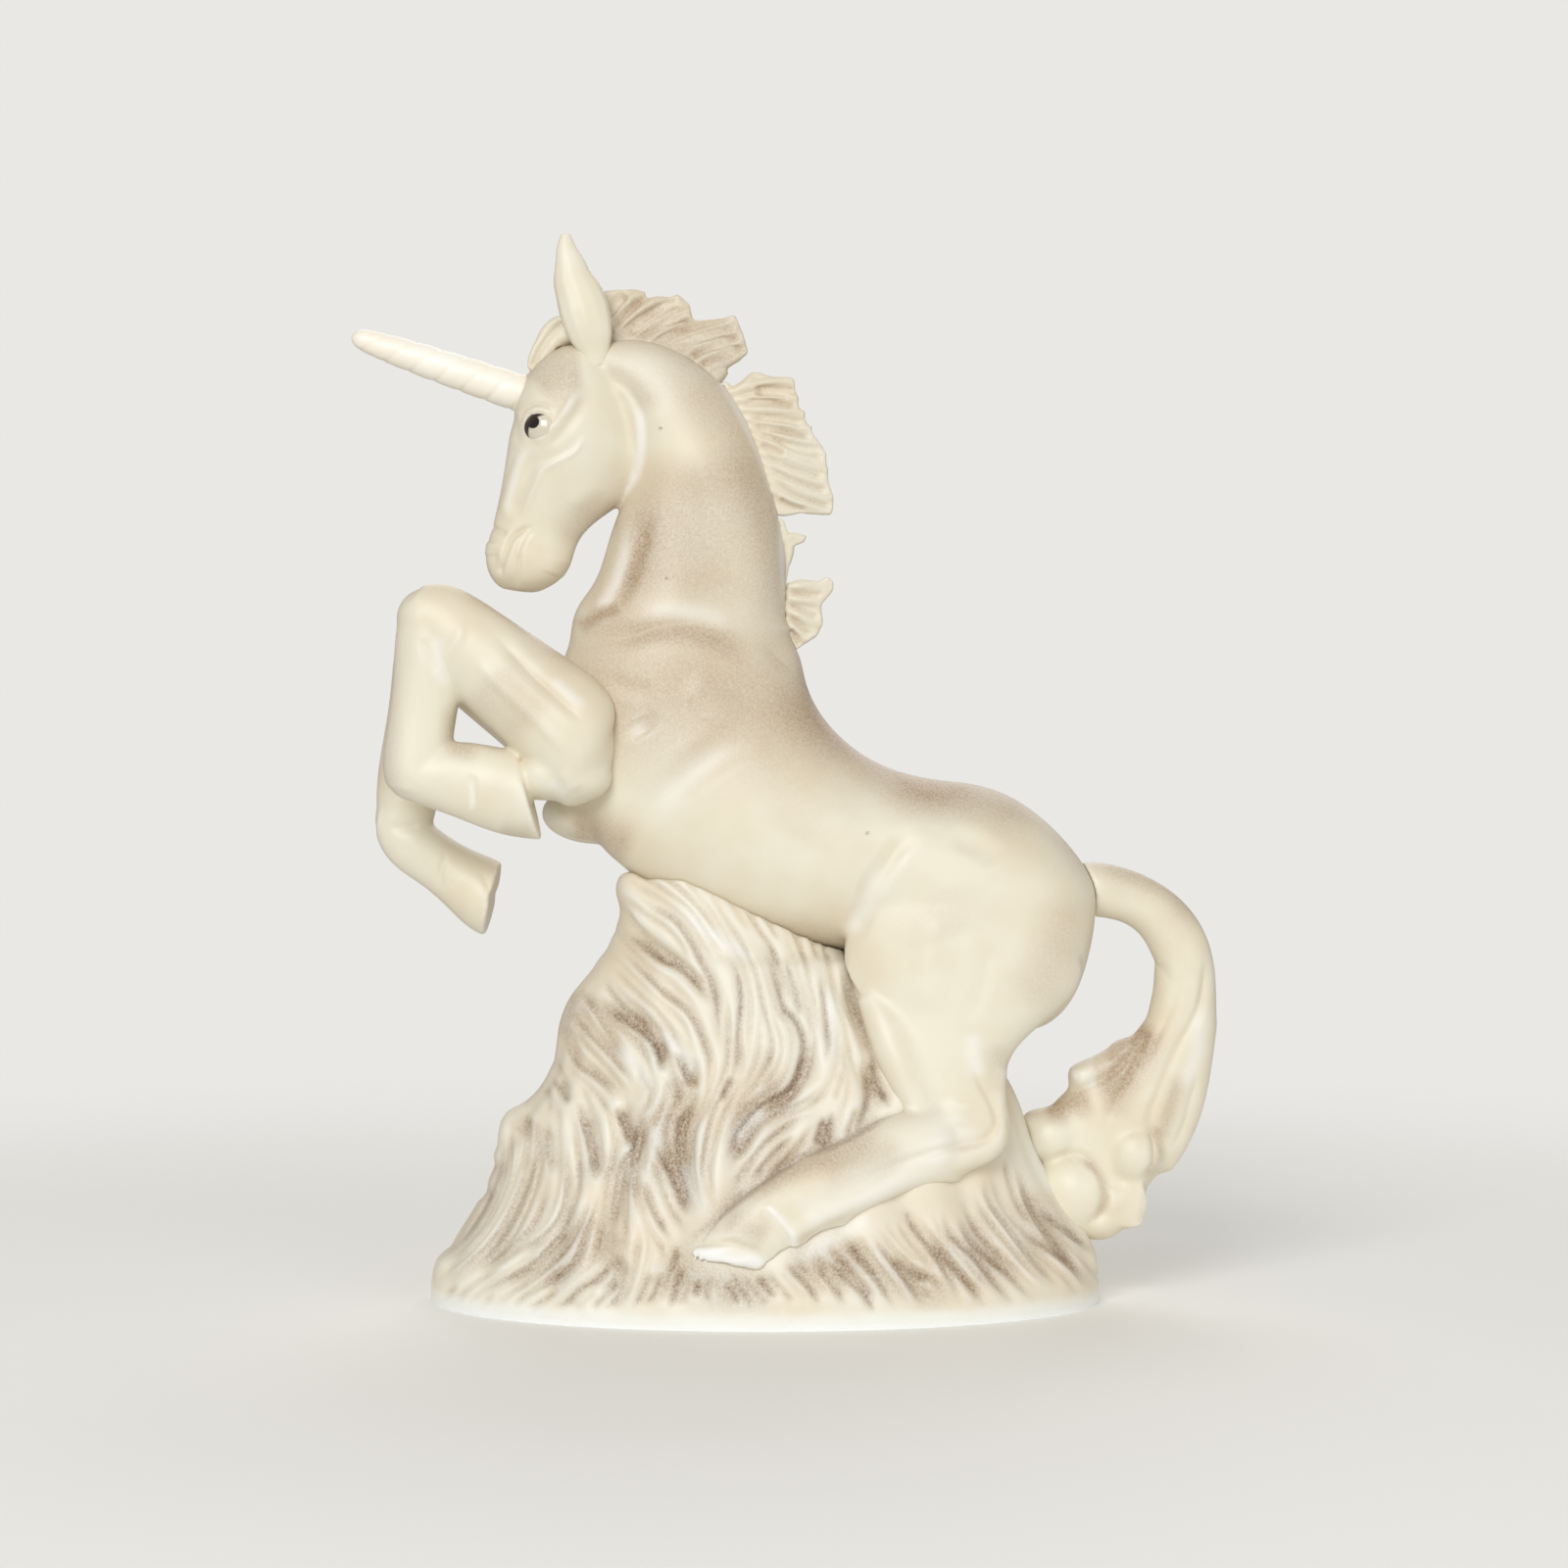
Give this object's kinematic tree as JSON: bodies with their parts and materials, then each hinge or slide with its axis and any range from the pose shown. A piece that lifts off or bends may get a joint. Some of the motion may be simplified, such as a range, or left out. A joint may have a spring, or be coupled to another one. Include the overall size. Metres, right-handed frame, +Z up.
{
  "type": "unicorn figurine",
  "caption": "Cast ceramic ornament of a rearing unicorn with a spiral horn, standing on a hollow grassy mound.",
  "frame": {"origin": "middle of the whole figurine's outline box, on the surface that it stands on", "axes": "+Z up; the unicorn looks along -X, its left side faces -Y"},
  "size_m": [0.1769, 0.073, 0.217],
  "materials": {
    "bisque": "satin cream bisque",
    "stained_bisque": "satin cream bisque with brown stain in the grooves",
    "horn_bisque": "satin pale bisque",
    "eye_enamel": "gloss dark enamel"
  },
  "bodies": {
    "root": {"grass_mound": "stained_bisque", "torso": "bisque", "neck": "bisque", "head": "bisque", "horn": "horn_bisque", "left_ear": "bisque", "right_ear": "bisque", "forelock": "bisque", "mane_poll_fringe": "bisque", "mane_upper_fringe": "bisque", "mane_crest_curl": "bisque", "mane_lower_fringe": "bisque", "left_foreleg": "bisque", "right_foreleg": "bisque", "left_hind_leg": "bisque", "right_hind_leg": "bisque", "tail": "bisque", "left_eye": "eye_enamel", "right_eye": "eye_enamel"}
  },
  "joints": []
}
